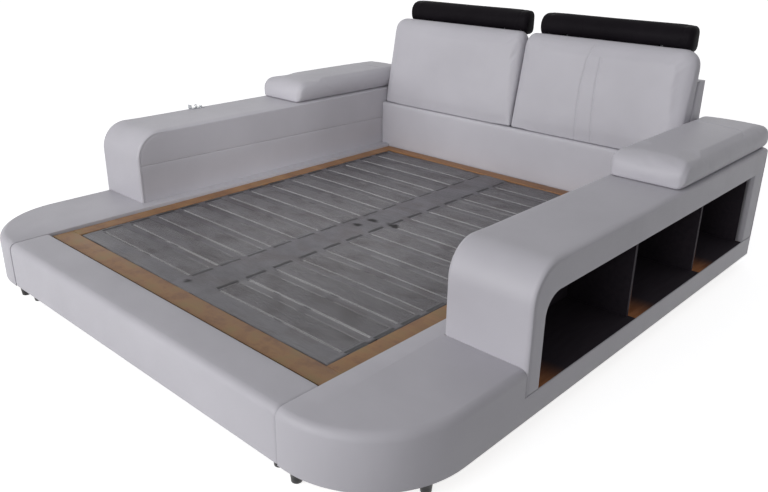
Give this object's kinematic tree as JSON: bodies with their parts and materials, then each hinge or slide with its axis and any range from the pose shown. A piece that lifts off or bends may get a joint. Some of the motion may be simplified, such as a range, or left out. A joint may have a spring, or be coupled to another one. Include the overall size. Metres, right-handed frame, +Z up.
{
  "type": "upholstered_bed",
  "caption": "Low padded leather bed with round front corners, storage arms with open bookshelves, slat deck, leaning back cushions and tilting black headrests",
  "frame": {"origin": "on the floor, under the middle of the bed's bounding box", "axes": "+X to the right of someone who stands at the foot and looks at the headboard, +Y along the bed from foot to headboard, +Z up"},
  "size_m": [2.36, 2.45, 1.025],
  "materials": {
    "pale_leather": "smooth pale leather with a slight lilac-grey cast, over foam",
    "black_leather": "smooth black leather over foam",
    "black_board": "near-black laminated board",
    "frame_wood": "raw sawn wood and plywood",
    "deck_wood": "plain tan-brown wood, seen through a thin clear wrapping",
    "slat_wood": "grey bent wood slats",
    "black_plastic": "matt black moulded plastic",
    "strap_webbing": "dark woven strap",
    "steel": "plain zinc-plated steel",
    "chrome": "polished chrome",
    "foot_plastic": "matt black moulded plastic"
  },
  "bodies": {
    "bed_frame": {"foot_rail_frame": "frame_wood", "foot_rail_cover": "pale_leather", "corner_frame_left": "frame_wood", "corner_frame_right": "frame_wood", "plinth_cover_left": "pale_leather", "plinth_cover_right": "pale_leather", "side_rail_left": "frame_wood", "side_rail_right": "frame_wood", "head_rail": "frame_wood", "arm_base_left": "frame_wood", "arm_base_right": "frame_wood", "arm_floor_left": "black_board", "arm_floor_right": "black_board", "arm_inner_board_left": "frame_wood", "arm_inner_board_right": "frame_wood", "arm_outer_board_left": "frame_wood", "arm_outer_board_right": "frame_wood", "arm_bent_board_left": "frame_wood", "arm_bent_board_right": "frame_wood", "arm_back_board_left": "frame_wood", "arm_back_board_right": "frame_wood", "arm_wrap_left": "pale_leather", "arm_wrap_right": "pale_leather", "arm_inner_side_left": "pale_leather", "arm_inner_side_right": "pale_leather", "arm_outer_side_left": "pale_leather", "arm_outer_side_right": "pale_leather", "shelf_box_left": "black_board", "shelf_box_right": "black_board", "shelf_dividers_left": "black_board", "shelf_dividers_right": "black_board", "arm_pad_left": "pale_leather", "arm_pad_right": "pale_leather", "chrome_fitting": "chrome", "deck_frame": "deck_wood", "centre_beam": "slat_wood", "slats": "slat_wood", "slat_holders": "black_plastic", "slat_straps": "strap_webbing", "deck_ledgers": "frame_wood", "centre_legs": "steel", "head_panel": "pale_leather", "headboard_frame": "frame_wood", "headboard_front_board": "frame_wood", "headboard_slope_board": "frame_wood", "headboard_back_board": "frame_wood", "headboard_cover": "pale_leather", "back_cushion_left": "pale_leather", "back_cushion_right": "pale_leather", "headrest_brackets": "steel", "frame_bolts": "steel", "feet": "foot_plastic"},
    "headrest_left": {"headrest_left_pad": "black_leather", "headrest_left_batten": "frame_wood", "headrest_left_hinges": "steel"},
    "headrest_right": {"headrest_right_pad": "black_leather", "headrest_right_batten": "frame_wood", "headrest_right_hinges": "steel"}
  },
  "joints": [
    {"name": "headrest_left_tilt", "type": "hinge", "parent": "bed_frame", "child": "headrest_left", "pos_m": [-0.4235, 1.173, 0.961], "axis": [1, 0, 0], "range_deg": [-15, 45]},
    {"name": "headrest_right_tilt", "type": "hinge", "parent": "bed_frame", "child": "headrest_right", "pos_m": [0.4235, 1.173, 0.961], "axis": [1, 0, 0], "range_deg": [-15, 45]}
  ]
}
